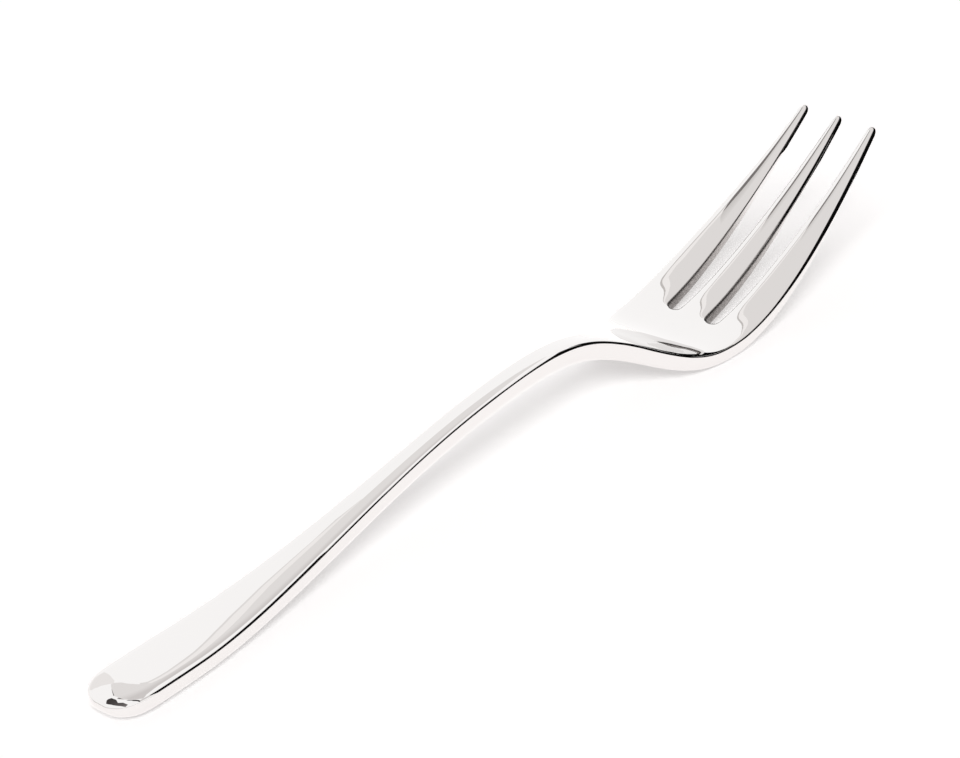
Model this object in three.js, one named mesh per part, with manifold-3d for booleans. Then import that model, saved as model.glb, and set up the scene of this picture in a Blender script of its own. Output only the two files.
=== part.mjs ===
// Three-tine serving fork in mirror-polished stainless steel, forged in one piece, lying on a table.
// Its zones from the handle's end to the tips are separate solids that meet face to face.
// Millimetres: +X runs from the handle's end to the tips, +Y to the fork's left, +Z up, table at Z = 0.
import * as THREE from 'three';
import { mergeVertices } from 'three/addons/utils/BufferGeometryUtils.js';
import Module from 'manifold-3d';

// Lengths of the zones, each one after the one before
const handleLength = 103.3;
const neckLength = 46.2;
const palmLength = 35.8;
const tineLength = 54.7;

// Widths across the fork
const handleWidth = 13.4;
const neckWidth = 4.8;
const headWidth = 29.8;
const tipSpread = 19.3;
const middleTineRootWidth = 6.1;
const tineBellyWidth = 5.5;
const tineTipWidth = 1.8;
const slotWidth = 4.1;

// Thickness of the steel, square to the side profile
const handleThickness = 5;
const neckThickness = 4.8;
const palmThickness = 3.7;
const tineTipThickness = 1.7;

// Radius of the rounded long edges
const handleEdgeRadius = 2.1;
const neckEdgeRadius = 1.9;
const palmEdgeRadius = 1.3;
const tineEdgeRadius = 0.75;
const edgeShare = 0.95; // most of half a section that a round edge may take

// Side profile: two flats rest on the table, the neck arches over it and the tines sweep up
const handleRestLength = 12;
const crestHeight = 16.4;
const crestIntoNeck = 23.6;
const palmRestLength = 4;
const palmRestToRoots = 6.1;
const tipHeight = 31.2;
const tipAngle = THREE.MathUtils.degToRad(36);

// How far each bend of the profile and of the plan outline runs on before it turns
const riseEase = 35.5;
const crestEase = 26;
const palmEase = 16;
const tineRootEase = 17;
const tineTipEase = 25;
const handleWideEase = 22;
const handleSlimEase = 44;
const shoulderSlimEase = 27;
const shoulderWideEase = 36;
const headEase = 14;
const outerTineEase = 25;

// Places along the plan outline, measured from the zone that they lie in
const handleWidestAt = 15.8;
const shoulderStartIntoNeck = 33.1;
const headWidestIntoTines = 4.4;
const tineBellyIntoTines = 29.6;
const outerTineTaper = 0.15;

// Rounded ends
const noseLength = 9;
const noseBluntness = 0.2;
const noseFullness = 2.5; // 2 is an ellipse, more is squarer
const tipRoundLength = 1.6;
const tipBluntness = 0.4;
const tipFullness = 2;
const notchOverrun = 4; // how far a slot's cutter reaches past both faces

// How finely the surfaces are faceted
const cornerSteps = 3;
const noseSteps = 6;
const tipSteps = 4;
const handleSteps = 18;
const neckSteps = 12;
const palmSteps = 11;
const tineSteps = 13;
const notchSides = 24;
const restSteps = 2;
const rootSteps = 3;
const trackHalvings = 40;

// Stations that the zones share
const neckStart = handleLength;
const palmStart = neckStart + neckLength;
const tineStart = palmStart + palmLength;
const forkLength = tineStart + tineLength;
const crestAt = neckStart + crestIntoNeck;
const handleRestEnd = noseLength + handleRestLength;
const palmRestEnd = tineStart - palmRestToRoots;
const palmRestStart = palmRestEnd - palmRestLength;
const headWidestAt = tineStart + headWidestIntoTines;

const point = (x, y) => new THREE.Vector2(x, y);

// A bend that leaves the first place level and reaches the second one level
function levelBend(start, end, startEase, endEase) {
  const leave = point(start.x + startEase, start.y);
  const arrive = point(end.x - endEase, end.y);
  return new THREE.CubicBezierCurve(start, leave, arrive, end);
}

// The point and the slope angle of a chain of curves at a distance x along the fork
function trackAt(curves, x) {
  const curve = curves.find((each) => x <= each.getPoint(1).x) ?? curves[curves.length - 1];
  let low = 0;
  let high = 1;
  for (let halving = 0; halving < trackHalvings; halving += 1) {
    const middle = (low + high) / 2;
    if (curve.getPoint(middle).x < x) low = middle;
    else high = middle;
  }
  const along = curve.getTangent((low + high) / 2);
  return { value: curve.getPoint((low + high) / 2).y, angle: Math.atan2(along.y, along.x) };
}

// Side profile through the middle of the thickness
const restHeight = handleThickness / 2;
const palmHeight = palmThickness / 2;
const tip = point(forkLength, tipHeight);
const tipRun = point(tineTipEase * Math.cos(tipAngle), tineTipEase * Math.sin(tipAngle));
const palmRestFace = point(palmRestEnd, palmHeight);
const profile = [
  new THREE.LineCurve(point(0, restHeight), point(handleRestEnd, restHeight)),
  levelBend(point(handleRestEnd, restHeight), point(crestAt, crestHeight), riseEase, riseEase),
  levelBend(point(crestAt, crestHeight), point(palmRestStart, palmHeight), crestEase, palmEase),
  new THREE.LineCurve(point(palmRestStart, palmHeight), palmRestFace),
  new THREE.CubicBezierCurve(
    palmRestFace, point(palmRestEnd + tineRootEase, palmHeight), tip.clone().sub(tipRun), tip),
];

// Half of the plan outline, from the handle's end to the outer tine's tip
const slimStart = point(neckStart, neckWidth / 2);
const shoulderStart = point(neckStart + shoulderStartIntoNeck, neckWidth / 2);
const headWidest = point(headWidestAt, headWidth / 2);
const outerTip = point(forkLength, tipSpread / 2);
const outerTipRun = point(outerTineEase, -outerTineEase * outerTineTaper);
const outline = [
  new THREE.LineCurve(point(0, handleWidth / 2), point(handleWidestAt, handleWidth / 2)),
  levelBend(point(handleWidestAt, handleWidth / 2), slimStart, handleWideEase, handleSlimEase),
  new THREE.LineCurve(slimStart, shoulderStart),
  levelBend(shoulderStart, headWidest, shoulderSlimEase, shoulderWideEase),
  new THREE.CubicBezierCurve(
    headWidest, point(headWidestAt + headEase, headWidth / 2), outerTip.clone().sub(outerTipRun), outerTip),
];

// Half width of the middle tine, and the inner edge of an outer tine
const middleRoot = point(tineStart, middleTineRootWidth / 2);
const middleTip = point(forkLength, tineTipWidth / 2);
const middleEdge = [
  new THREE.QuadraticBezierCurve(
    middleRoot, point(tineStart + tineBellyIntoTines, tineBellyWidth / 2), middleTip),
];
const innerRoot = point(tineStart, middleTineRootWidth / 2 + slotWidth);
const innerTip = point(forkLength, tipSpread / 2 - tineTipWidth);
const innerEdge = [new THREE.LineCurve(innerRoot, innerTip)];

// Thickness and edge radius change gradually from place to place
function graded(places) {
  return (x) => {
    const next = places.findIndex(([at]) => x <= at);
    if (next < 0) return places[places.length - 1][1];
    if (next === 0) return places[0][1];
    const [startAt, startSize] = places[next - 1];
    const [endAt, endSize] = places[next];
    return THREE.MathUtils.lerp(startSize, endSize, THREE.MathUtils.smoothstep(x, startAt, endAt));
  };
}
const thicknessAt = graded([
  [handleRestEnd, handleThickness], [crestAt, neckThickness], [palmRestStart, palmThickness],
  [palmRestEnd, palmThickness], [forkLength, tineTipThickness],
]);
const edgeRadiusAt = graded([
  [handleWidestAt, handleEdgeRadius], [neckStart, neckEdgeRadius], [palmStart, neckEdgeRadius],
  [tineStart, palmEdgeRadius], [forkLength, tineEdgeRadius],
]);

// One closed section: a rounded rectangle square to the profile
function section(x, left, right, endScale = 1) {
  const { value: height, angle } = trackAt(profile, x);
  const halfThickness = thicknessAt(x) / 2 * endScale;
  const halfWidth = (left - right) / 2 * endScale;
  const centre = (left + right) / 2;
  const radius = Math.min(edgeRadiusAt(x), halfThickness * edgeShare, halfWidth * edgeShare);
  const corners = [[1, 1], [-1, 1], [-1, -1], [1, -1]];
  return corners.flatMap(([side, face], corner) =>
    Array.from({ length: cornerSteps + 1 }, (_, step) => {
      const turn = (corner + step / cornerSteps) * Math.PI / 2;
      const across = side * (halfWidth - radius) + radius * Math.cos(turn);
      const up = face * (halfThickness - radius) + radius * Math.sin(turn);
      return new THREE.Vector3(
        x - Math.sin(angle) * up, centre + across, height + Math.cos(angle) * up);
    }));
}

// A closed solid through sections, with a flat cap at each end
function loft(sections) {
  const around = sections[0].length;
  const positions = sections.flat().flatMap((each) => each.toArray());
  const faces = [];
  for (let ring = 0; ring + 1 < sections.length; ring += 1) {
    for (let spot = 0; spot < around; spot += 1) {
      const here = ring * around + spot;
      const beside = ring * around + (spot + 1) % around;
      faces.push(here, beside, beside + around, here, beside + around, here + around);
    }
  }
  const last = (sections.length - 1) * around;
  for (let spot = 1; spot + 1 < around; spot += 1) {
    faces.push(0, spot + 1, spot);
    faces.push(last, last + spot, last + spot + 1);
  }
  const geometry = new THREE.BufferGeometry();
  geometry.setAttribute('position', new THREE.Float32BufferAttribute(positions, 3));
  geometry.setIndex(faces);
  return geometry;
}

const spread = (start, end, steps) =>
  Array.from({ length: steps + 1 }, (_, step) => THREE.MathUtils.lerp(start, end, step / steps));

const bodySection = (x, endScale) => {
  const half = trackAt(outline, x).value;
  return section(x, half, -half, endScale);
};

// Even turns round a rounded end: the section's scale, and how far out it lies, from 1 at the very end to 0
function endTurns(bluntness, fullness, steps) {
  const start = Math.asin(bluntness ** (fullness / 2));
  const outermost = Math.cos(start) ** (2 / fullness);
  return spread(start, Math.PI / 2, steps).map((turn) => ({
    scale: Math.sin(turn) ** (2 / fullness),
    reach: Math.cos(turn) ** (2 / fullness) / outermost,
  }));
}

// The handle's end is rounded in plan and in thickness
const noseSections = endTurns(noseBluntness, noseFullness, noseSteps).map(({ scale, reach }) =>
  bodySection(noseLength * (1 - reach), scale));

const handleStations = [
  ...spread(noseLength, handleRestEnd, restSteps).slice(1),
  ...spread(handleRestEnd, neckStart, handleSteps).slice(1),
];
const neckStations = spread(neckStart, palmStart, neckSteps);
const palmStations = [
  ...spread(palmStart, palmRestStart, palmSteps),
  palmRestEnd,
  ...spread(palmRestEnd, tineStart, rootSteps).slice(1),
];

// A tine runs between its two edges and ends in a rounded point
function tineGeometry(leftEdge, rightEdge) {
  const roundStart = forkLength - tipRoundLength;
  const tipTurns = endTurns(tipBluntness, tipFullness, tipSteps).reverse();
  const stations = [
    ...spread(tineStart, roundStart, tineSteps).map((x) => ({ x, scale: 1 })),
    ...tipTurns.slice(1).map(({ scale, reach }) => ({ x: roundStart + tipRoundLength * reach, scale })),
  ];
  return loft(stations.map(({ x, scale }) => section(x, leftEdge(x), rightEdge(x), scale)));
}

const outerAt = (x) => trackAt(outline, x).value;
const innerAt = (x) => trackAt(innerEdge, x).value;
const middleAt = (x) => trackAt(middleEdge, x).value;

// Solids that are cut go through the boolean library and come back as geometry
const wasm = await Module();
wasm.setup();

function toSolid(geometry) {
  const merged = geometry.clone();
  merged.deleteAttribute('normal');
  merged.deleteAttribute('uv');
  const clean = mergeVertices(merged);
  return new wasm.Manifold(new wasm.Mesh({
    numProp: 3,
    vertProperties: new Float32Array(clean.attributes.position.array),
    triVerts: new Uint32Array(clean.index.array),
  }));
}

function toGeometry(solid) {
  const mesh = solid.getMesh();
  const geometry = new THREE.BufferGeometry();
  geometry.setAttribute('position', new THREE.Float32BufferAttribute(mesh.vertProperties, 3));
  geometry.setIndex(Array.from(mesh.triVerts));
  return geometry;
}

// The round bottom of a slot is a half cylinder sunk into the palm's front face
function notchGeometry(side) {
  const { value: height, angle } = trackAt(profile, tineStart);
  const cutter = new THREE.CylinderGeometry(
    slotWidth / 2, slotWidth / 2, palmThickness + 2 * notchOverrun, notchSides);
  cutter.rotateX(Math.PI / 2);
  cutter.rotateY(-angle);
  cutter.translate(tineStart, side * (middleTineRootWidth + slotWidth) / 2, height);
  return cutter;
}

function palmGeometry() {
  const blank = toSolid(loft(palmStations.map((x) => bodySection(x))));
  const cut = blank.subtract(toSolid(notchGeometry(1))).subtract(toSolid(notchGeometry(-1)));
  return toGeometry(cut);
}

// Mirror-polished stainless steel
const polishedSteel = () =>
  new THREE.MeshStandardMaterial({ color: 0xd9d7d4, metalness: 1, roughness: 0.08 });

function zone(name, geometry) {
  const flat = geometry.index ? geometry.toNonIndexed() : geometry;
  flat.computeVertexNormals();
  const mesh = new THREE.Mesh(flat, polishedSteel());
  mesh.name = name;
  return mesh;
}

// The origin lies on the table, under the middle of the fork
const fork = new THREE.Group();
fork.position.x = -forkLength / 2;
fork.add(
  zone('handle', loft([...noseSections, ...handleStations.map((x) => bodySection(x))])),
  zone('neck', loft(neckStations.map((x) => bodySection(x)))),
  zone('palm', palmGeometry()),
  zone('left_tine', tineGeometry(outerAt, innerAt)),
  zone('middle_tine', tineGeometry(middleAt, (x) => -middleAt(x))),
  zone('right_tine', tineGeometry((x) => -innerAt(x), (x) => -outerAt(x))),
);

export default fork;
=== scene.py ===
# Three-tine serving fork in mirror-polished stainless steel, lying on a white table
import math
import bpy
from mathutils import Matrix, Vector


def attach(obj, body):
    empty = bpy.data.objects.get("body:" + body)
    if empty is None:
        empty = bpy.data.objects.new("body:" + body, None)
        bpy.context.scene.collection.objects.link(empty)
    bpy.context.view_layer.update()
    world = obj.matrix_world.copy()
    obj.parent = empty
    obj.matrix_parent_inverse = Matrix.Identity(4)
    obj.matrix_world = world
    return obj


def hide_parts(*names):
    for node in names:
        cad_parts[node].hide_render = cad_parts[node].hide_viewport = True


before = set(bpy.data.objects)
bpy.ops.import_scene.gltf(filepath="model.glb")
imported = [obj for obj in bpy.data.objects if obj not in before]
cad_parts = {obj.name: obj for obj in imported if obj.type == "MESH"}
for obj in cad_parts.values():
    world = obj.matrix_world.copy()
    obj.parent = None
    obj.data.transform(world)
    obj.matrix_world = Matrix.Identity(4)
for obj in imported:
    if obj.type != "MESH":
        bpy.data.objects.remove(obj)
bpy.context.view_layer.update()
print("frame loaded:", ", ".join(sorted(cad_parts)))

mm = 0.001
scene = bpy.context.scene
scene.view_settings.view_transform = "Standard"

mathNode = "ShaderNodeMath"
vectorNode = "ShaderNodeVectorMath"
rangeNode = "ShaderNodeMapRange"
mixNode = "ShaderNodeMix"


def addNode(tree, kind, inputs=None, **settings):
    # settings go on the node itself, an input is a value or another node's socket
    node = tree.nodes.new(kind)
    for name, value in settings.items():
        setattr(node, name, value)
    for name, value in (inputs or {}).items():
        if isinstance(value, bpy.types.NodeSocket):
            tree.links.new(value, node.inputs[name])
        else:
            node.inputs[name].default_value = value
    return node


def linearColour(hexText):
    shares = [int(hexText[i:i + 2], 16) / 255 for i in (1, 3, 5)]
    return [s / 12.92 if s <= 0.04045 else ((s + 0.055) / 1.055) ** 2.4 for s in shares] + [1]


def lerp(start, end, share):
    return start + (end - start) * share


def smooth(value, start, end):
    share = min(max((value - start) / (end - start), 0), 1)
    return share * share * (3 - 2 * share)


def spread(start, end, steps):
    return [lerp(start, end, i / steps) for i in range(steps + 1)]


# Camera: a long lens, looking down along the fork from behind the handle's right
view = {
    "eye": (-442.3, -351.0, 350.1),  # mm
    "turn": 50.93,  # degrees from +Y towards +X
    "tilt": 30.54,  # degrees down
    "lens": 120,  # mm
    "sensor": 36,  # mm wide
}


def placeCamera():
    turn = math.radians(view["turn"])
    tilt = math.radians(view["tilt"])
    level = Vector((math.sin(turn), math.cos(turn), 0))
    look = level * math.cos(tilt) - Vector((0, 0, math.sin(tilt)))
    data = bpy.data.cameras.new("camera")
    data.lens = view["lens"]
    data.sensor_fit = "HORIZONTAL"
    data.sensor_width = view["sensor"]
    camera = bpy.data.objects.new("camera", data)
    camera.location = Vector(view["eye"]) * mm
    camera.rotation_euler = look.to_track_quat("-Z", "Y").to_euler()
    scene.collection.objects.link(camera)
    scene.camera = camera


placeCamera()
print("camera placed")

# The fork's sizes in mm, stations run from the handle's end to the tips
fork = {
    "length": 240,
    "neckStart": 103.3, "palmStart": 149.5, "tineStart": 185.3,
    "headStart": 126, "headFull": 168,  # between them the section turns from rounded to flat
    # widths
    "handleWidth": 13.4, "neckWidth": 5.4, "headWidth": 30.6, "tipSpread": 20.2, "slotWidth": 3.2,
    "middleTineWidth": 7, "tineBellyWidth": 6.4, "tineTipWidth": 1.8,
    "headLean": 0.45,  # the head stands this far to the left of the handle's line
    # thicknesses
    "handleThickness": 5, "neckThickness": 5.4, "palmThickness": 3.7, "tipThickness": 1.7,
    # side profile
    "handleRest": 21, "crestAt": 126.9, "crestHeight": 16.1, "palmRest": (176.9, 179.3),
    "tipHeight": 31.2, "tipAngle": 36,
    "riseEase": 35.5, "crestEase": 26, "palmEase": 16, "rootEase": 17, "tipEase": 25,
    # plan outline
    "handleWidest": 15.8, "handleEases": (22, 44), "shoulderAt": 136.4, "shoulderEases": (27, 36),
    "headWidest": 189.7, "headEase": 14, "outerTineEase": 25, "outerTineTaper": 0.15, "bellyAt": 214.9,
    # rounded ends
    "noseLength": 9, "noseBluntness": 0.22, "noseFullness": 2.5,
    "tipRound": 1.3, "tipBluntness": 0.45, "tipFullness": 2, "tipThinning": 0.3,
    # edges: the bevel and the rounding beside it, each at most a share of the tine's half width
    "edgeBevel": 1.4, "bevelLimit": 0.5, "edgeRound": 0.5, "roundLimit": 0.2,
    # slot roots: their depth, its share at the slot's sides, and how far back the lanes bow
    "rootRound": 1.6, "rootDepth": 0.8, "rootSides": 0.12, "rootBow": 9,
    # sections: 2 is an ellipse, more is squarer
    "handleSquareness": 4.6, "neckSquareness": 3.6, "wallShare": 0.985, "undersideRounding": 1.8,
    "edgeFullness": (0.8, 0.3), "shoulderFullness": (0.9, 0.88), "innerFullness": 0.8,  # at roots and tips
    "handleCrown": 0.1, "tineCrown": 0.07,
    "crownShares": (0, 0.3, 1, 1, 1, 1, 1, 0.3, 0, 0.3, 1, 1),  # of the tines' crown, by lane
}
lanes = 11  # lanes on each side of the middle
slotLane = 4  # the slots lie between the lanes on both sides of this one
rowCounts = {"nose": 7, "handle": 26, "neck": 14, "palm": 12, "tines": 17, "tips": 4}
profileSteps = 64  # for each bend of the side profile
laneValues = ("halfWidth", "endScale", "headShare", "fullness", "topDrop")


def levelBend(start, end, eases):
    return [start, start + Vector((eases[0], 0)), end - Vector((eases[1], 0)), end]


def straight(start, end):
    return [start, start.lerp(end, 1 / 3), start.lerp(end, 2 / 3), end]


def bezierPoint(bend, share):
    a, b, c, d = bend
    rest = 1 - share
    return a * rest ** 3 + b * 3 * rest ** 2 * share + c * 3 * rest * share ** 2 + d * share ** 3


def heightAt(bends, x):
    bend = next((each for each in bends if x <= each[3].x), bends[-1])
    low, high = 0, 1
    for halving in range(40):
        middle = (low + high) / 2
        if bezierPoint(bend, middle).x < x:
            low = middle
        else:
            high = middle
    return bezierPoint(bend, low).y


def sideProfile():
    # the middle of the thickness, seen from the side
    rest = fork["handleThickness"] / 2
    low = fork["palmThickness"] / 2
    flat = Vector((fork["handleRest"], rest))
    crest = Vector((fork["crestAt"], fork["crestHeight"]))
    dipStart, dipEnd = (Vector((x, low)) for x in fork["palmRest"])
    tip = Vector((fork["length"], fork["tipHeight"]))
    angle = math.radians(fork["tipAngle"])
    tipRun = Vector((math.cos(angle), math.sin(angle))) * fork["tipEase"]
    return [
        straight(Vector((0, rest)), flat),
        levelBend(flat, crest, (fork["riseEase"], fork["riseEase"])),
        levelBend(crest, dipStart, (fork["crestEase"], fork["palmEase"])),
        straight(dipStart, dipEnd),
        [dipEnd, dipEnd + Vector((fork["rootEase"], 0)), tip - tipRun, tip],
    ]


def planOutline():
    # half of the width, seen from above
    wide = Vector((fork["handleWidest"], fork["handleWidth"] / 2))
    slim = Vector((fork["neckStart"], fork["neckWidth"] / 2))
    shoulder = Vector((fork["shoulderAt"], fork["neckWidth"] / 2))
    head = Vector((fork["headWidest"], fork["headWidth"] / 2))
    tip = Vector((fork["length"], fork["tipSpread"] / 2))
    tipRun = Vector((-1, fork["outerTineTaper"])) * fork["outerTineEase"]
    return [
        straight(Vector((0, fork["handleWidth"] / 2)), wide),
        levelBend(wide, slim, fork["handleEases"]),
        straight(slim, shoulder),
        levelBend(shoulder, head, fork["shoulderEases"]),
        [head, head + Vector((fork["headEase"], 0)), tip + tipRun, tip],
    ]


def middleTineEdge():
    root = Vector((fork["tineStart"], fork["middleTineWidth"] / 2))
    belly = Vector((fork["bellyAt"], fork["tineBellyWidth"] / 2))
    tip = Vector((fork["length"], fork["tineTipWidth"] / 2))
    return [[root, root.lerp(belly, 2 / 3), tip.lerp(belly, 2 / 3), tip]]


def endTurns(bluntness, fullness, steps):
    # a rounded end: how far the section has shrunk, and how far out that is
    start = math.asin(bluntness ** (fullness / 2))
    outermost = math.cos(start) ** (2 / fullness)
    return [(math.sin(turn) ** (2 / fullness), math.cos(turn) ** (2 / fullness) / outermost)
            for turn in spread(start, math.pi / 2, steps)]


def blankRows():
    # rows across the blank: a station and how far the rounded ends have shrunk the section there
    nose = fork["noseLength"]
    tipStart = fork["length"] - fork["tipRound"]
    noseTurns = endTurns(fork["noseBluntness"], fork["noseFullness"], rowCounts["nose"])
    tipTurns = endTurns(fork["tipBluntness"], fork["tipFullness"], rowCounts["tips"])
    stretches = [
        (nose, fork["neckStart"], "handle"),
        (fork["neckStart"], fork["palmStart"], "neck"),
        (fork["palmStart"], fork["tineStart"] - fork["rootRound"], "palm"),
        (fork["tineStart"], tipStart, "tines"),
    ]
    found = [(nose * (1 - reach), scale) for scale, reach in noseTurns]
    for start, end, name in stretches:
        stations = spread(start, end, rowCounts[name])
        found += [(x, 1) for x in (stations if name == "tines" else stations[1:])]
    found += [(tipStart + fork["tipRound"] * reach, scale) for scale, reach in reversed(tipTurns[:-1])]
    return found


def headFullness(x):
    # share of the half thickness that each lane keeps: full on top, rounded off along the edges
    along = smooth(x, fork["tineStart"], fork["length"])
    edge, shoulder = (lerp(*fork[name], along) for name in ("edgeFullness", "shoulderFullness"))
    inside = smooth(x, fork["tineStart"] - fork["rootRound"], fork["tineStart"])
    slot = lerp(1, edge, inside)
    inner = lerp(1, fork["innerFullness"], inside)
    rim = lerp(1, shoulder, inside)
    return [1, 1, rim, slot, slot, inner, rim, 1, 1, 1, shoulder, edge]


def slotBow(x, lane):
    # the lanes bow back at each slot's rounded end
    if x > fork["tineStart"]:
        return 0
    near = 1 - min((fork["tineStart"] - x) / fork["rootBow"], 1)
    share = {0: 1, 1: fork["rootSides"]}.get(abs(abs(lane) - slotLane), 0)
    return fork["rootDepth"] * near * share


def headLean(x):
    # the tips are back on the handle's line
    there = smooth(x, fork["palmStart"], fork["tineStart"])
    back = smooth(x, fork["tineStart"], fork["length"])
    return fork["headLean"] * there * (1 - back)


def topDrops(x, widths):
    # how far the top face falls away from its middle: a crown across the handle and one on each tine
    crown = [fork["handleCrown"] * (width / widths[lanes]) ** 2 for width in widths]
    tine = [fork["tineCrown"] * share for share in fork["crownShares"]]
    share = smooth(x, fork["palmStart"], fork["tineStart"])
    fade = 1 - smooth(x, fork["handleRest"], fork["neckStart"])
    return [lerp(a * fade, b, share) for a, b in zip(crown, tine)]


def laneWidths(x, scale):
    # distance of each lane from the middle, blended from the handle's even lanes to the tines' lanes
    half = heightAt(outline, x)
    root = max(x, fork["tineStart"])
    middle = heightAt(middleEdge, root)
    along = (root - fork["tineStart"]) / (fork["length"] - fork["tineStart"])
    innerRoot = fork["middleTineWidth"] / 2 + fork["slotWidth"]
    inner = lerp(innerRoot, fork["tipSpread"] / 2 - fork["tineTipWidth"], along)
    bevel = min(fork["edgeBevel"], middle * fork["bevelLimit"])
    edge = min(fork["edgeRound"], middle * fork["roundLimit"])
    outerMiddle = (inner + half) / 2
    tine = [0, middle - bevel, middle - edge, middle, (middle + inner) / 2,
            inner, inner + edge, inner + bevel, outerMiddle, half - bevel, half - edge, half]
    even = [half * math.sin(math.pi / 2 * lane / lanes) for lane in range(lanes + 1)]
    share = smooth(x, fork["palmStart"], fork["tineStart"])
    widths = [lerp(a, b, share) for a, b in zip(even, tine)]
    if x < fork["noseLength"]:
        return [width * scale for width in widths]
    return [lerp(0 if lane < slotLane else outerMiddle, width, scale) for lane, width in enumerate(widths)]


profile = sideProfile()
outline = planOutline()
middleEdge = middleTineEdge()
rows = blankRows()


def onProfile(spot):
    return Vector((spot.x - fork["length"] / 2, 0, spot.y)) * mm


def pathObject():
    # the side profile as a curve that the flat blank is bent along
    data = bpy.data.curves.new("sideProfile", "CURVE")
    data.dimensions = "3D"
    data.resolution_u = profileSteps
    spline = data.splines.new("BEZIER")
    spline.bezier_points.add(len(profile))
    for i, knot in enumerate(spline.bezier_points):
        before = profile[max(i - 1, 0)]
        after = profile[min(i, len(profile) - 1)]
        spot = after[0] if i < len(profile) else before[3]
        knot.handle_left_type = knot.handle_right_type = "FREE"
        knot.co = onProfile(spot)
        knot.handle_left = onProfile(before[2] if i > 0 else spot)
        knot.handle_right = onProfile(after[1] if i < len(profile) else spot)
    path = bpy.data.objects.new("sideProfile", data)
    scene.collection.objects.link(path)
    return path


def pathLength(x):
    # distance along the side profile up to a station
    total = 0
    for bend in profile:
        spots = [bezierPoint(bend, share) for share in spread(0, 1, profileSteps)]
        for a, b in zip(spots, spots[1:]):
            if x <= a.x:
                return total
            total += (b - a).length * min((x - a.x) / (b.x - a.x), 1)
    return total


def blankMesh():
    # the flat blank before forging: rows along the fork, lanes across it, the slots already cut
    points, faces, index = [], [], {}
    values = {name: [] for name in laneValues}
    for row, (x, scale) in enumerate(rows):
        widths = laneWidths(x, scale)
        drops = topDrops(x, widths)
        full = headFullness(x)
        endScale = scale if x < fork["noseLength"] else lerp(1, scale, fork["tipThinning"])
        for lane in range(-lanes, lanes + 1):
            if abs(lane) == slotLane and x > fork["tineStart"]:
                continue
            index[row, lane] = len(points)
            length = pathLength(x - slotBow(x, lane))
            across = math.copysign(widths[abs(lane)], lane) + headLean(x)
            points.append((length * mm, across * mm, 0))
            values["halfWidth"].append(widths[lanes] * mm)
            values["endScale"].append(endScale)
            values["headShare"].append(smooth(x, fork["headStart"], fork["headFull"]))
            values["fullness"].append(full[abs(lane)])
            values["topDrop"].append(drops[abs(lane)] * mm)
    for row in range(len(rows) - 1):
        for lane in range(-lanes, lanes):
            corners = [(row, lane), (row + 1, lane), (row + 1, lane + 1), (row, lane + 1)]
            if all(corner in index for corner in corners):
                faces.append([index[corner] for corner in corners])
    mesh = bpy.data.meshes.new("blank")
    mesh.from_pydata(points, [], faces)
    for name, each in values.items():
        mesh.attributes.new(name, "FLOAT", "POINT").data.foreach_set("value", each)
    return mesh


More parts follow.
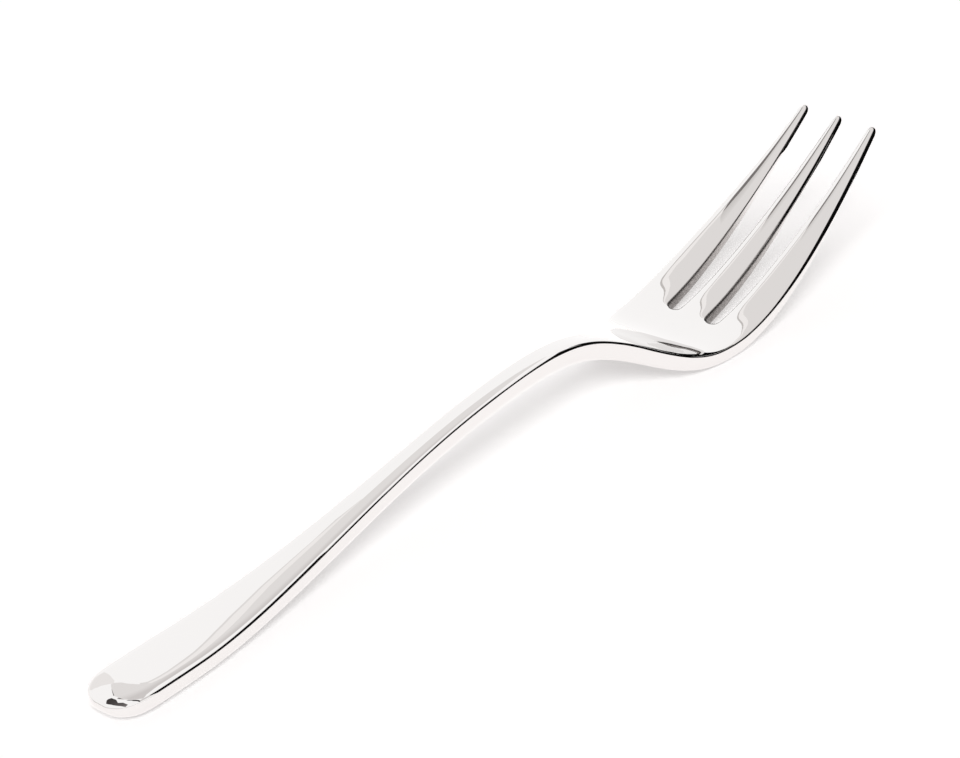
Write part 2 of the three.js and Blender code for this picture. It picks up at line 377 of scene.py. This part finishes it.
def forgeTree(path, steel):
    # thickens the blank, rounds its section, bends it along the side profile and smooths it
    tree = bpy.data.node_groups.new("forge", "GeometryNodeTree")
    face = tree.interface
    face.new_socket("Blank", in_out="INPUT", socket_type="NodeSocketGeometry")
    sizes = {
        "Handle Thickness": fork["handleThickness"] * mm,
        "Neck Thickness": fork["neckThickness"] * mm,
        "Palm Thickness": fork["palmThickness"] * mm,
        "Tip Thickness": fork["tipThickness"] * mm,
        "Handle End": pathLength(fork["handleRest"]) * mm,
        "Neck Start": pathLength(fork["neckStart"]) * mm,
        "Crest": pathLength(fork["crestAt"]) * mm,
        "Palm": pathLength(fork["palmRest"][0]) * mm,
        "Tine Root": pathLength(fork["palmRest"][1]) * mm,
        "Tip": pathLength(fork["length"]) * mm,
        "Handle Squareness": fork["handleSquareness"],
        "Neck Squareness": fork["neckSquareness"],
        "Wall Share": fork["wallShare"],
        "Underside Rounding": fork["undersideRounding"],
    }
    identifiers = {name: face.new_socket(name, in_out="INPUT", socket_type="NodeSocketFloat").identifier
                   for name in sizes}
    face.new_socket("Fork", in_out="OUTPUT", socket_type="NodeSocketGeometry")
    size = addNode(tree, "NodeGroupInput").outputs

    # two layers of extrusion make the side wall, the flipped blank closes the underside
    layer = 1 * mm
    weld = 0.01 * mm
    first = addNode(tree, "GeometryNodeExtrudeMesh", {
        "Mesh": size["Blank"], "Offset": (0, 0, 1),
        "Offset Scale": layer, "Individual": False}, mode="FACES")
    second = addNode(tree, "GeometryNodeExtrudeMesh", {
        "Mesh": first.outputs["Mesh"], "Selection": first.outputs["Top"], "Offset": (0, 0, 1),
        "Offset Scale": layer, "Individual": False}, mode="FACES")
    flipped = addNode(tree, "GeometryNodeFlipFaces", {"Mesh": size["Blank"]})
    slab = addNode(tree, "GeometryNodeJoinGeometry", {"Geometry": flipped.outputs["Mesh"]})
    tree.links.new(second.outputs["Mesh"], slab.inputs["Geometry"])
    closed = addNode(tree, "GeometryNodeMergeByDistance", {
        "Geometry": slab.outputs["Geometry"], "Distance": weld})

    place = addNode(tree, "GeometryNodeInputPosition").outputs[0]
    spot = addNode(tree, "ShaderNodeSeparateXYZ", {0: place}).outputs
    read = {}
    for name in laneValues:
        value = addNode(tree, "GeometryNodeInputNamedAttribute", {"Name": name}, data_type="FLOAT")
        read[name] = value.outputs[0]

    # thickness passes from handle to neck, palm and tips
    gauge = size["Handle Thickness"]
    for start, end, name in (("Handle End", "Crest", "Neck Thickness"), ("Crest", "Palm", "Palm Thickness"),
                             ("Tine Root", "Tip", "Tip Thickness")):
        gauge = addNode(tree, rangeNode, {
            "Value": spot["X"], "From Min": size[start], "From Max": size[end],
            "To Min": gauge, "To Max": size[name]}, interpolation_type="SMOOTHSTEP").outputs[0]
    squareness = addNode(tree, rangeNode, {
        "Value": spot["X"], "From Min": size["Handle End"], "From Max": size["Neck Start"],
        "To Min": size["Handle Squareness"], "To Max": size["Neck Squareness"]},
        interpolation_type="SMOOTHSTEP").outputs[0]

    # section height: a squared ellipse on handle and neck, flat on the palm and the tines
    across = addNode(tree, mathNode, {0: spot["Y"]}, operation="ABSOLUTE").outputs[0]
    across = addNode(tree, mathNode, {0: across, 1: read["halfWidth"]}, operation="DIVIDE").outputs[0]
    across = addNode(tree, mathNode, {0: across, 1: size["Wall Share"]}, operation="MULTIPLY").outputs[0]
    across = addNode(tree, mathNode, {0: across, 1: squareness}, operation="POWER").outputs[0]
    across = addNode(tree, mathNode, {0: 1, 1: across}, operation="SUBTRACT").outputs[0]
    inverse = addNode(tree, mathNode, {0: 1, 1: squareness}, operation="DIVIDE").outputs[0]
    domed = addNode(tree, mathNode, {0: across, 1: inverse}, operation="POWER").outputs[0]
    crown = addNode(tree, mixNode, {0: read["headShare"], 2: domed, 3: read["fullness"]}).outputs[0]

    # level is -1 on the underside, 0 along the wall and 1 on top, the underside is rounded more
    level = addNode(tree, mathNode, {0: spot["Z"], 1: layer}, operation="DIVIDE").outputs[0]
    level = addNode(tree, mathNode, {0: level, 1: 1}, operation="SUBTRACT").outputs[0]
    below = addNode(tree, mathNode, {0: level, 1: 0}, operation="LESS_THAN").outputs[0]
    softer = addNode(tree, mathNode, {0: crown, 1: size["Underside Rounding"]}, operation="POWER")
    crown = addNode(tree, mixNode, {0: below, 2: crown, 3: softer.outputs[0]}).outputs[0]
    rise = addNode(tree, mathNode, {0: gauge, 1: 0.5}, operation="MULTIPLY").outputs[0]
    rise = addNode(tree, mathNode, {0: rise, 1: crown}, operation="MULTIPLY").outputs[0]
    rise = addNode(tree, mathNode, {0: rise, 1: level}, operation="MULTIPLY").outputs[0]
    upper = addNode(tree, mathNode, {0: level, 1: 0}, operation="MAXIMUM").outputs[0]
    drop = addNode(tree, mathNode, {0: read["topDrop"], 1: upper}, operation="MULTIPLY").outputs[0]
    rise = addNode(tree, mathNode, {0: rise, 1: drop}, operation="SUBTRACT").outputs[0]
    rise = addNode(tree, mathNode, {0: rise, 1: read["endScale"]}, operation="MULTIPLY").outputs[0]

    # bend along the side profile
    route = addNode(tree, "GeometryNodeObjectInfo", {"Object": path}).outputs["Geometry"]
    sample = addNode(tree, "GeometryNodeSampleCurve", {"Curves": route, "Length": spot["X"]},
                     mode="LENGTH", use_all_curves=True)
    upward = addNode(tree, vectorNode, {0: sample.outputs["Tangent"], 1: (0, 1, 0)},
                     operation="CROSS_PRODUCT").outputs[0]
    upward = addNode(tree, vectorNode, {0: upward, "Scale": rise}, operation="SCALE").outputs[0]
    sideways = addNode(tree, "ShaderNodeCombineXYZ", {"Y": spot["Y"]}).outputs[0]
    place = addNode(tree, vectorNode, {0: sample.outputs["Position"], 1: upward}).outputs[0]
    place = addNode(tree, vectorNode, {0: place, 1: sideways}).outputs[0]
    bent = addNode(tree, "GeometryNodeSetPosition", {
        "Geometry": closed.outputs["Geometry"], "Position": place})

    soft = addNode(tree, "GeometryNodeSubdivisionSurface", {"Mesh": bent.outputs["Geometry"], "Level": 2})
    shaded = addNode(tree, "GeometryNodeSetShadeSmooth", {"Geometry": soft.outputs["Mesh"]})
    real = addNode(tree, "GeometryNodeRealizeInstances", {"Geometry": shaded.outputs["Geometry"]})
    made = addNode(tree, "GeometryNodeSetMaterial", {
        "Geometry": real.outputs["Geometry"], "Material": steel})
    addNode(tree, "NodeGroupOutput", {"Fork": made.outputs["Geometry"]})
    return tree, {identifiers[name]: value for name, value in sizes.items()}


# Mirror-polished stainless steel: buffed until single scratches vanish, so the eye sees the room in it.
# The slots are too narrow for the buff: near their roots the cut walls stay rough and grainy, and a darker
# grey is painted on them as the slots' shade.
polish = {
    "colour": "#dad8d7",
    "roughness": 0.015,
    "slotPaintedShades": ("#6a6664", "#b5b1af"),  # painted shade in the slots: at the root, and paler further out
    "slotRoughness": 0.5,
    "slotStart": (59, 61),  # mm from the fork's middle, where the dull walls fade in
    "slotEnd": (90, 100),  # and where they fade out
    "slotReach": (8.6, 8.2),  # mm from the fork's axis
    "wallFacing": (0.3, 0.42),  # from here on a face has turned sideways enough to be a wall
    "leftWallBias": 0.4,  # walls that face left have to turn this much further
    "wallFoot": (-0.75, -0.55),  # faces that look further down belong to the polished underside
    "grain": 0.4,  # mm, coarser than a real cut's grain so that it shows
    "grainSpan": (0.3, 0.7),  # the part of the noise that is used
    "grainShare": (0.75, 1),  # how dull the grain leaves the wall
}


def mirrorPolishedStainless():
    steel = bpy.data.materials.new("mirrorPolishedStainless")
    steel.use_nodes = True
    tree = steel.node_tree
    shader = tree.nodes["Principled BSDF"]
    shader.inputs["Metallic"].default_value = 1
    place = addNode(tree, "ShaderNodeTexCoord").outputs
    spot = addNode(tree, "ShaderNodeSeparateXYZ", {0: place["Object"]}).outputs
    facing = addNode(tree, "ShaderNodeSeparateXYZ", {0: place["Normal"]}).outputs

    # rough, and painted darker as shade, where a face is a slot's wall
    right = addNode(tree, mathNode, {0: facing["Y"], 1: -1}, operation="MULTIPLY").outputs[0]
    left = addNode(tree, mathNode, {0: facing["Y"], 1: polish["leftWallBias"]}, operation="SUBTRACT")
    side = addNode(tree, mathNode, {0: right, 1: left.outputs[0]}, operation="MAXIMUM").outputs[0]
    side = addNode(tree, mathNode, {0: side, 1: facing["X"]}, operation="MAXIMUM").outputs[0]
    across = addNode(tree, mathNode, {0: spot["Y"]}, operation="ABSOLUTE").outputs[0]
    limits = [
        (side, polish["wallFacing"], 1, (0, 1)),
        (facing["Z"], polish["wallFoot"], 1, (0, 1)),
        (spot["X"], polish["slotStart"], mm, (0, 1)),
        (spot["X"], polish["slotEnd"], mm, (1, 0)),
        (across, polish["slotReach"], mm, (0, 1)),
    ]
    grain = addNode(tree, "ShaderNodeTexNoise", {
        "Vector": place["Object"], "Scale": 1 / (polish["grain"] * mm), "Detail": 2}).outputs["Fac"]
    limits.append((grain, polish["grainSpan"], 1, polish["grainShare"]))
    dullAndShaded = 1
    for value, (start, end), unit, (low, high) in limits:
        limit = addNode(tree, rangeNode, {
            "Value": value, "From Min": start * unit, "From Max": end * unit,
            "To Min": low, "To Max": high})
        dullAndShaded = addNode(tree, mathNode, {0: dullAndShaded, 1: limit.outputs[0]}, operation="MULTIPLY").outputs[0]

    # the painted slot shade grows paler away from the roots
    along = addNode(tree, rangeNode, {
        "Value": spot["X"], "From Min": polish["slotStart"][1] * mm, "From Max": polish["slotEnd"][0] * mm})
    rootPaintedShade, mouthPaintedShade = (linearColour(shade) for shade in polish["slotPaintedShades"])
    slot = addNode(tree, mixNode, {0: along.outputs[0], 6: rootPaintedShade, 7: mouthPaintedShade}, data_type="RGBA")
    # the painted slot shade replaces the steel's own colour, and the rough finish follows the same mask
    colour = addNode(tree, mixNode, {
        0: dullAndShaded, 6: linearColour(polish["colour"]), 7: slot.outputs[2]}, data_type="RGBA")
    rough = addNode(tree, mixNode, {0: dullAndShaded, 2: polish["roughness"], 3: polish["slotRoughness"]})
    tree.links.new(colour.outputs[2], shader.inputs["Base Color"])
    tree.links.new(rough.outputs[0], shader.inputs["Roughness"])
    return steel


def forgeFork():
    steel = mirrorPolishedStainless()
    path = pathObject()
    tree, values = forgeTree(path, steel)
    piece = bpy.data.objects.new("fork", blankMesh())
    scene.collection.objects.link(piece)
    modifier = piece.modifiers.new("forge", "NODES")
    modifier.node_group = tree
    for identifier, value in values.items():
        modifier[identifier] = value
    bpy.context.view_layer.update()
    forged = piece.evaluated_get(bpy.context.evaluated_depsgraph_get())
    mesh = bpy.data.meshes.new_from_object(forged)
    piece.modifiers.remove(modifier)
    piece.data = mesh
    for name in laneValues:
        mesh.attributes.remove(mesh.attributes[name])
    bpy.data.objects.remove(path)
    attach(piece, "root")
    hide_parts("handle", "neck", "palm", "left_tine", "middle_tine", "right_tine")
    print("fork forged:", len(mesh.polygons), "faces")


forgeFork()

# Studio: a white table in a light tent, pale panels over the fork, and black flags beside it
studio = {
    "tableSize": 4000,  # mm
    "tableDrop": 0.05,  # mm under the fork, so that the two share no face
    "tableColour": "#f6f6f6",
    "glowColour": "#fffbfa",  # a little warm, as the shadows are
    "tableGlow": 0.55,  # lifts the table to white and leaves its shadows
    "tableGlint": 0.84,  # the same in the steel
    "fill": 0.16,  # how strongly the white surroundings light the table
    "suns": {
        # where each stands, its spread in degrees, a wide soft source, and its power
        "windowBehind": ((-0.9, -0.6, 1.2), 25, 1.4),
        "windowBeside": ((0.1, 0.8, 1.2), 60, 0.15),
    },
    "tentGlow": 1.3,  # how bright the tent stands in the steel
    "tentFoot": "#c2bfbd",  # its shade along the horizon
    "tentRise": 0.3,  # and the height where it is white
    "tentOpen": (0.67, 0.74, 0),  # it stays white this way
    "tentSides": 0.4,  # and the foot's shade comes in from here to the sides
}
# Cards show only in the steel's reflections. Each lies in a plane, given by an axis and a place on it,
# with its outline in the other two axes, in mm. It has one shade, or fades along a direction
# from one place and shade to another.
black = "#0a0a0a"
cards = {
    # over the tines, whose faces show its grey and whose roots show its curled edge
    "roof": {
        "plane": ("z", 400),
        "outline": [(330, 135), (273, 242), (238, 270), (205, 270), (177, 262), (152, 262), (133, 264),
                    (100, 250), (75, 232), (50, 222), (-40, 215), (-40, -600), (480, -600), (480, -200),
                    (420, 0)],
        "fade": ((0, -1, 0), (60, "#e5e3e2"), (150, "#d6d3d2")),
    },
    "roofGap": {
        "plane": ("z", 402),
        "outline": [(363, 142), (300, 254), (262, 290), (215, 304), (173, 303), (144, 296), (112, 284),
                    (112, -600), (528, -600), (528, -210), (462, 0)],
        "shade": "#f6f4f3",
    },
    "roofLine": {
        "plane": ("z", 404),
        "outline": [(373, 146), (308, 261), (268, 304), (215, 322), (173, 322), (140, 312), (108, 298),
                    (108, -600), (542, -600), (542, -216), (475, 0)],
        "shade": "#c6c3c1",
    },
    # the roof's left and rear rims, for the thin line on the tines and the marks on the handle's end
    "roofRim": {
        "plane": ("z", 401),
        "outline": [(112, 255), (75, 231), (50, 221), (-40, 214), (-40, 250), (50, 258), (80, 272),
                    (112, 298)],
        "shade": "#7d7978",
    },
    "roofRimSoft": {
        "plane": ("z", 399),
        "outline": [(112, 256), (75, 232), (50, 222), (-40, 215), (-40, 185), (50, 190), (75, 200),
                    (112, 220)],
        "fade": ((-0.4, 1, 0), (170, "#e5e3e2"), (215, "#c9c6c4")),
    },
    "rearRim": {
        "plane": ("z", 401),
        "outline": [(-75, -600), (-38, -600), (-38, 110), (-58, 110), (-58, 0), (-75, -50)],
        "shade": "#2a2827",
    },
    # low over the handle, for the grey band on it, the pale gap beside the band and the fine line
    "handlePanel": {
        "plane": ("z", 40),
        "outline": [(-108, -7), (-108, 24), (-95, 32), (-92, 32.5), (-88, 32), (-85, 29), (-83.5, 24),
                    (-83.5, 17), (-81.5, 12.5), (-79, 11), (-74, 11), (-71, 12), (-67, 15), (-63.5, 18),
                    (-60, 21), (-56.5, 22.5), (-53, 22.5), (-45.5, 21), (-39, 20.5), (-26, 18), (7, 13),
                    (19.5, 10), (34.5, 1.5), (17.5, -6), (7.5, -15.5), (-10, -20), (-33, -20),
                    (-53, -12.5), (-68, -8), (-87, -3), (-96, -11), (-102, -30)],
        "fade": ((-0.25, -0.97, 0), (5, "#e7e5e4"), (18, "#d3d0cf")),
    },
    "handleGap": {
        "plane": ("z", 40.3),
        "outline": [(-84, 5), (-84, 20), (-82.5, 21), (-80, 18.5), (-77.5, 17.5), (-72, 18.5), (-69, 20),
                    (-64.5, 24.5), (-61.5, 26), (-56, 26), (-45, 23.5), (-39, 22), (-33, 20), (-33, 15),
                    (-60, 10)],
        "shade": "#f6f4f3",
    },
    "handleLine": {
        "plane": ("z", 40.6),
        "outline": [(-84, 5), (-84, 25), (-82.5, 27.5), (-81.5, 23.5), (-79, 21.5), (-76.5, 20.5),
                    (-71, 22), (-68, 23), (-64, 26.5), (-61.5, 27.5), (-56, 27), (-45, 24), (-39, 23),
                    (-33, 20.5), (-33, 15), (-60, 10)],
        "shade": "#e5e3e2",
    },
    "handleSky": {
        "plane": ("z", 41),
        "outline": [(-108, 100), (-108, -30), (-80, -33), (-40, -33), (-25, -55), (0, -62), (45, -62),
                    (45, 100)],
        "shade": "#ffffff",
    },
    # over the handle's rounded end
    "noseLine": {
        "plane": ("z", 40.6),
        "outline": [(-108, 25), (-95, 32), (-95, 31), (-107.5, 24)],
        "shade": "#5a5655",
    },
    "noseSky": {
        "plane": ("z", 40.9),
        "outline": [(-72, 69), (-84, 42), (-88.5, 35), (-92, 33), (-98, 33.5), (-107, 36), (-120, 50),
                    (-125, 90), (-70, 110)],
        "shade": "#f0eeed",
    },
    "noseSpot": {
        "plane": ("z", 400),
        "outline": [(-260, 290), (-150, 280), (-70, 275), (-70, 240), (-150, 160), (-130, 85), (-250, -200),
                    (-600, -560), (-780, -810), (-385, -100), (-340, 80), (-325, 215), (-385, 315)],
        "fade": ((0, -1, 0), (-290, "#3f3c3b"), (250, "#777372")),
    },
    # upright, for the black line from the handle over the crest to the palm and the tines' dark right edges
    "flag": {
        "plane": ("y", -150),
        "outline": [(-20, 50), (15, 28), (40, 32), (55, 10), (110, 3), (130, 20), (165, 30), (185, 15),
                    (520, 15), (520, 330), (350, 270), (260, 232), (180, 195), (150, 150), (128, 110),
                    (112, 76), (52, 76), (75, 200), (60, 208), (0, 190), (-20, 130)],
        "shade": black,
    },
    "palmFlag": {
        "plane": ("x", 130),
        "outline": [(26, 12), (28, 27), (20, 40), (14, 50), (5, 63), (-2, 75), (-17, 86), (-25, 88),
                    (-25, 12)],
        "shade": black,
    },
    "tineFlag": {
        "plane": ("y", -40),
        "outline": [(75, 14), (150, 14), (150, 100), (75, 135)],
        "shade": black,
    },
    "frontFlag": {
        "plane": ("x", 520),
        "outline": [(-50, 100), (-50, 236), (-200, 328), (-200, 100)],
        "shade": black,
    },
}


def inMirror(tree):
    # 1 where the camera sees a thing in the steel, 0 where the steel would throw its light on the table
    ray = addNode(tree, "ShaderNodeLightPath").outputs
    first = addNode(tree, mathNode, {0: ray["Diffuse Depth"], 1: 1}, operation="LESS_THAN").outputs[0]
    return addNode(tree, mathNode, {0: ray["Is Glossy Ray"], 1: first}, operation="MULTIPLY").outputs[0]


def whiteSurround():
    world = bpy.data.worlds.new("tent")
    world.use_nodes = True
    tree = world.node_tree
    tree.nodes.clear()
    ray = addNode(tree, "ShaderNodeLightPath").outputs
    mirrored = inMirror(tree)
    strength = addNode(tree, mixNode, {0: mirrored, 2: studio["fill"], 3: studio["tentGlow"]})
    strength = addNode(tree, mixNode, {0: ray["Is Camera Ray"], 2: strength.outputs[0], 3: 1})

    # in the steel the tent's foot is greyer, apart from its open side
    way = addNode(tree, "ShaderNodeTexCoord").outputs["Generated"]
    height = addNode(tree, "ShaderNodeSeparateXYZ", {0: way}).outputs["Z"]
    foot = addNode(tree, rangeNode, {"Value": height, "From Min": studio["tentRise"], "From Max": 0},
                   interpolation_type="SMOOTHSTEP")
    ahead = addNode(tree, vectorNode, {0: way, 1: studio["tentOpen"]}, operation="DOT_PRODUCT")
    aside = addNode(tree, rangeNode, {
        "Value": ahead.outputs["Value"], "From Min": studio["tentSides"], "From Max": 0})
    foot = addNode(tree, mathNode, {0: foot.outputs[0], 1: aside.outputs[0]}, operation="MULTIPLY")
    foot = addNode(tree, mathNode, {0: foot.outputs[0], 1: mirrored}, operation="MULTIPLY")
    shade = addNode(tree, mixNode, {
        0: foot.outputs[0], 6: (1, 1, 1, 1), 7: linearColour(studio["tentFoot"])}, data_type="RGBA")
    back = addNode(tree, "ShaderNodeBackground", {
        "Color": shade.outputs[2], "Strength": strength.outputs[0]})
    addNode(tree, "ShaderNodeOutputWorld", {"Surface": back.outputs[0]})
    scene.world = world


def whiteTable():
    half = studio["tableSize"] / 2 * mm
    level = -studio["tableDrop"] * mm
    corners = [(-half, -half, level), (half, -half, level), (half, half, level), (-half, half, level)]
    mesh = bpy.data.meshes.new("table")
    mesh.from_pydata(corners, [], [(0, 1, 2, 3)])
    table = bpy.data.objects.new("table", mesh)
    scene.collection.objects.link(table)
    paper = bpy.data.materials.new("whitePaper")
    paper.use_nodes = True
    tree = paper.node_tree
    tree.nodes.clear()
    ray = addNode(tree, "ShaderNodeLightPath").outputs
    direct = addNode(tree, mathNode, {
        0: ray["Is Camera Ray"], 1: ray["Is Transmission Ray"]}, operation="MAXIMUM").outputs[0]
    direct = addNode(tree, mathNode, {0: direct, 1: studio["tableGlow"]}, operation="MULTIPLY").outputs[0]
    glow = addNode(tree, mathNode, {
        0: inMirror(tree), 1: studio["tableGlint"], 2: direct}, operation="MULTIPLY_ADD")
    diffuse = addNode(tree, "ShaderNodeBsdfDiffuse", {"Color": linearColour(studio["tableColour"])})
    lift = addNode(tree, "ShaderNodeEmission", {
        "Color": linearColour(studio["glowColour"]), "Strength": glow.outputs[0]})
    both = addNode(tree, "ShaderNodeAddShader", {0: diffuse.outputs[0], 1: lift.outputs[0]})
    addNode(tree, "ShaderNodeOutputMaterial", {"Surface": both.outputs[0]})
    mesh.materials.append(paper)


def standCard(name, plane, outline, shade=None, fade=None):
    axis, place = plane
    corners = [list(spot) for spot in outline]
    for corner in corners:
        corner.insert("xyz".index(axis), place)
    mesh = bpy.data.meshes.new(name)
    mesh.from_pydata([Vector(corner) * mm for corner in corners], [], [range(len(corners))])
    card = bpy.data.objects.new(name, mesh)
    scene.collection.objects.link(card)
    card.visible_camera = card.visible_diffuse = card.visible_shadow = card.visible_transmission = False
    sheet = bpy.data.materials.new(name)
    sheet.use_nodes = True
    tree = sheet.node_tree
    tree.nodes.clear()
    glow = addNode(tree, mathNode, {0: inMirror(tree), 1: studio["tentGlow"]}, operation="MULTIPLY")
    colour = fadedShade(tree, *fade) if fade else linearColour(shade)
    lit = addNode(tree, "ShaderNodeEmission", {"Color": colour, "Strength": glow.outputs[0]})
    addNode(tree, "ShaderNodeOutputMaterial", {"Surface": lit.outputs[0]})
    mesh.materials.append(sheet)


def fadedShade(tree, along, start, end):
    spot = addNode(tree, "ShaderNodeTexCoord").outputs["Object"]
    reach = addNode(tree, vectorNode, {0: spot, 1: along}, operation="DOT_PRODUCT").outputs["Value"]
    share = addNode(tree, rangeNode, {"Value": reach, "From Min": start[0] * mm, "From Max": end[0] * mm})
    mix = addNode(tree, mixNode, {
        0: share.outputs[0], 6: linearColour(start[1]), 7: linearColour(end[1])}, data_type="RGBA")
    return mix.outputs[2]


def softSun(name, place, spreadAngle, power):
    # lights the table, the steel shows the tent and the cards instead
    data = bpy.data.lights.new(name, "SUN")
    data.energy = power
    data.angle = math.radians(spreadAngle)
    sun = bpy.data.objects.new(name, data)
    sun.rotation_euler = Vector(place).to_track_quat("Z", "Y").to_euler()
    sun.visible_glossy = False
    scene.collection.objects.link(sun)


whiteSurround()
whiteTable()
for name, settings in studio["suns"].items():
    softSun(name, *settings)
for name, card in cards.items():
    standCard(name, **card)
print("studio set")
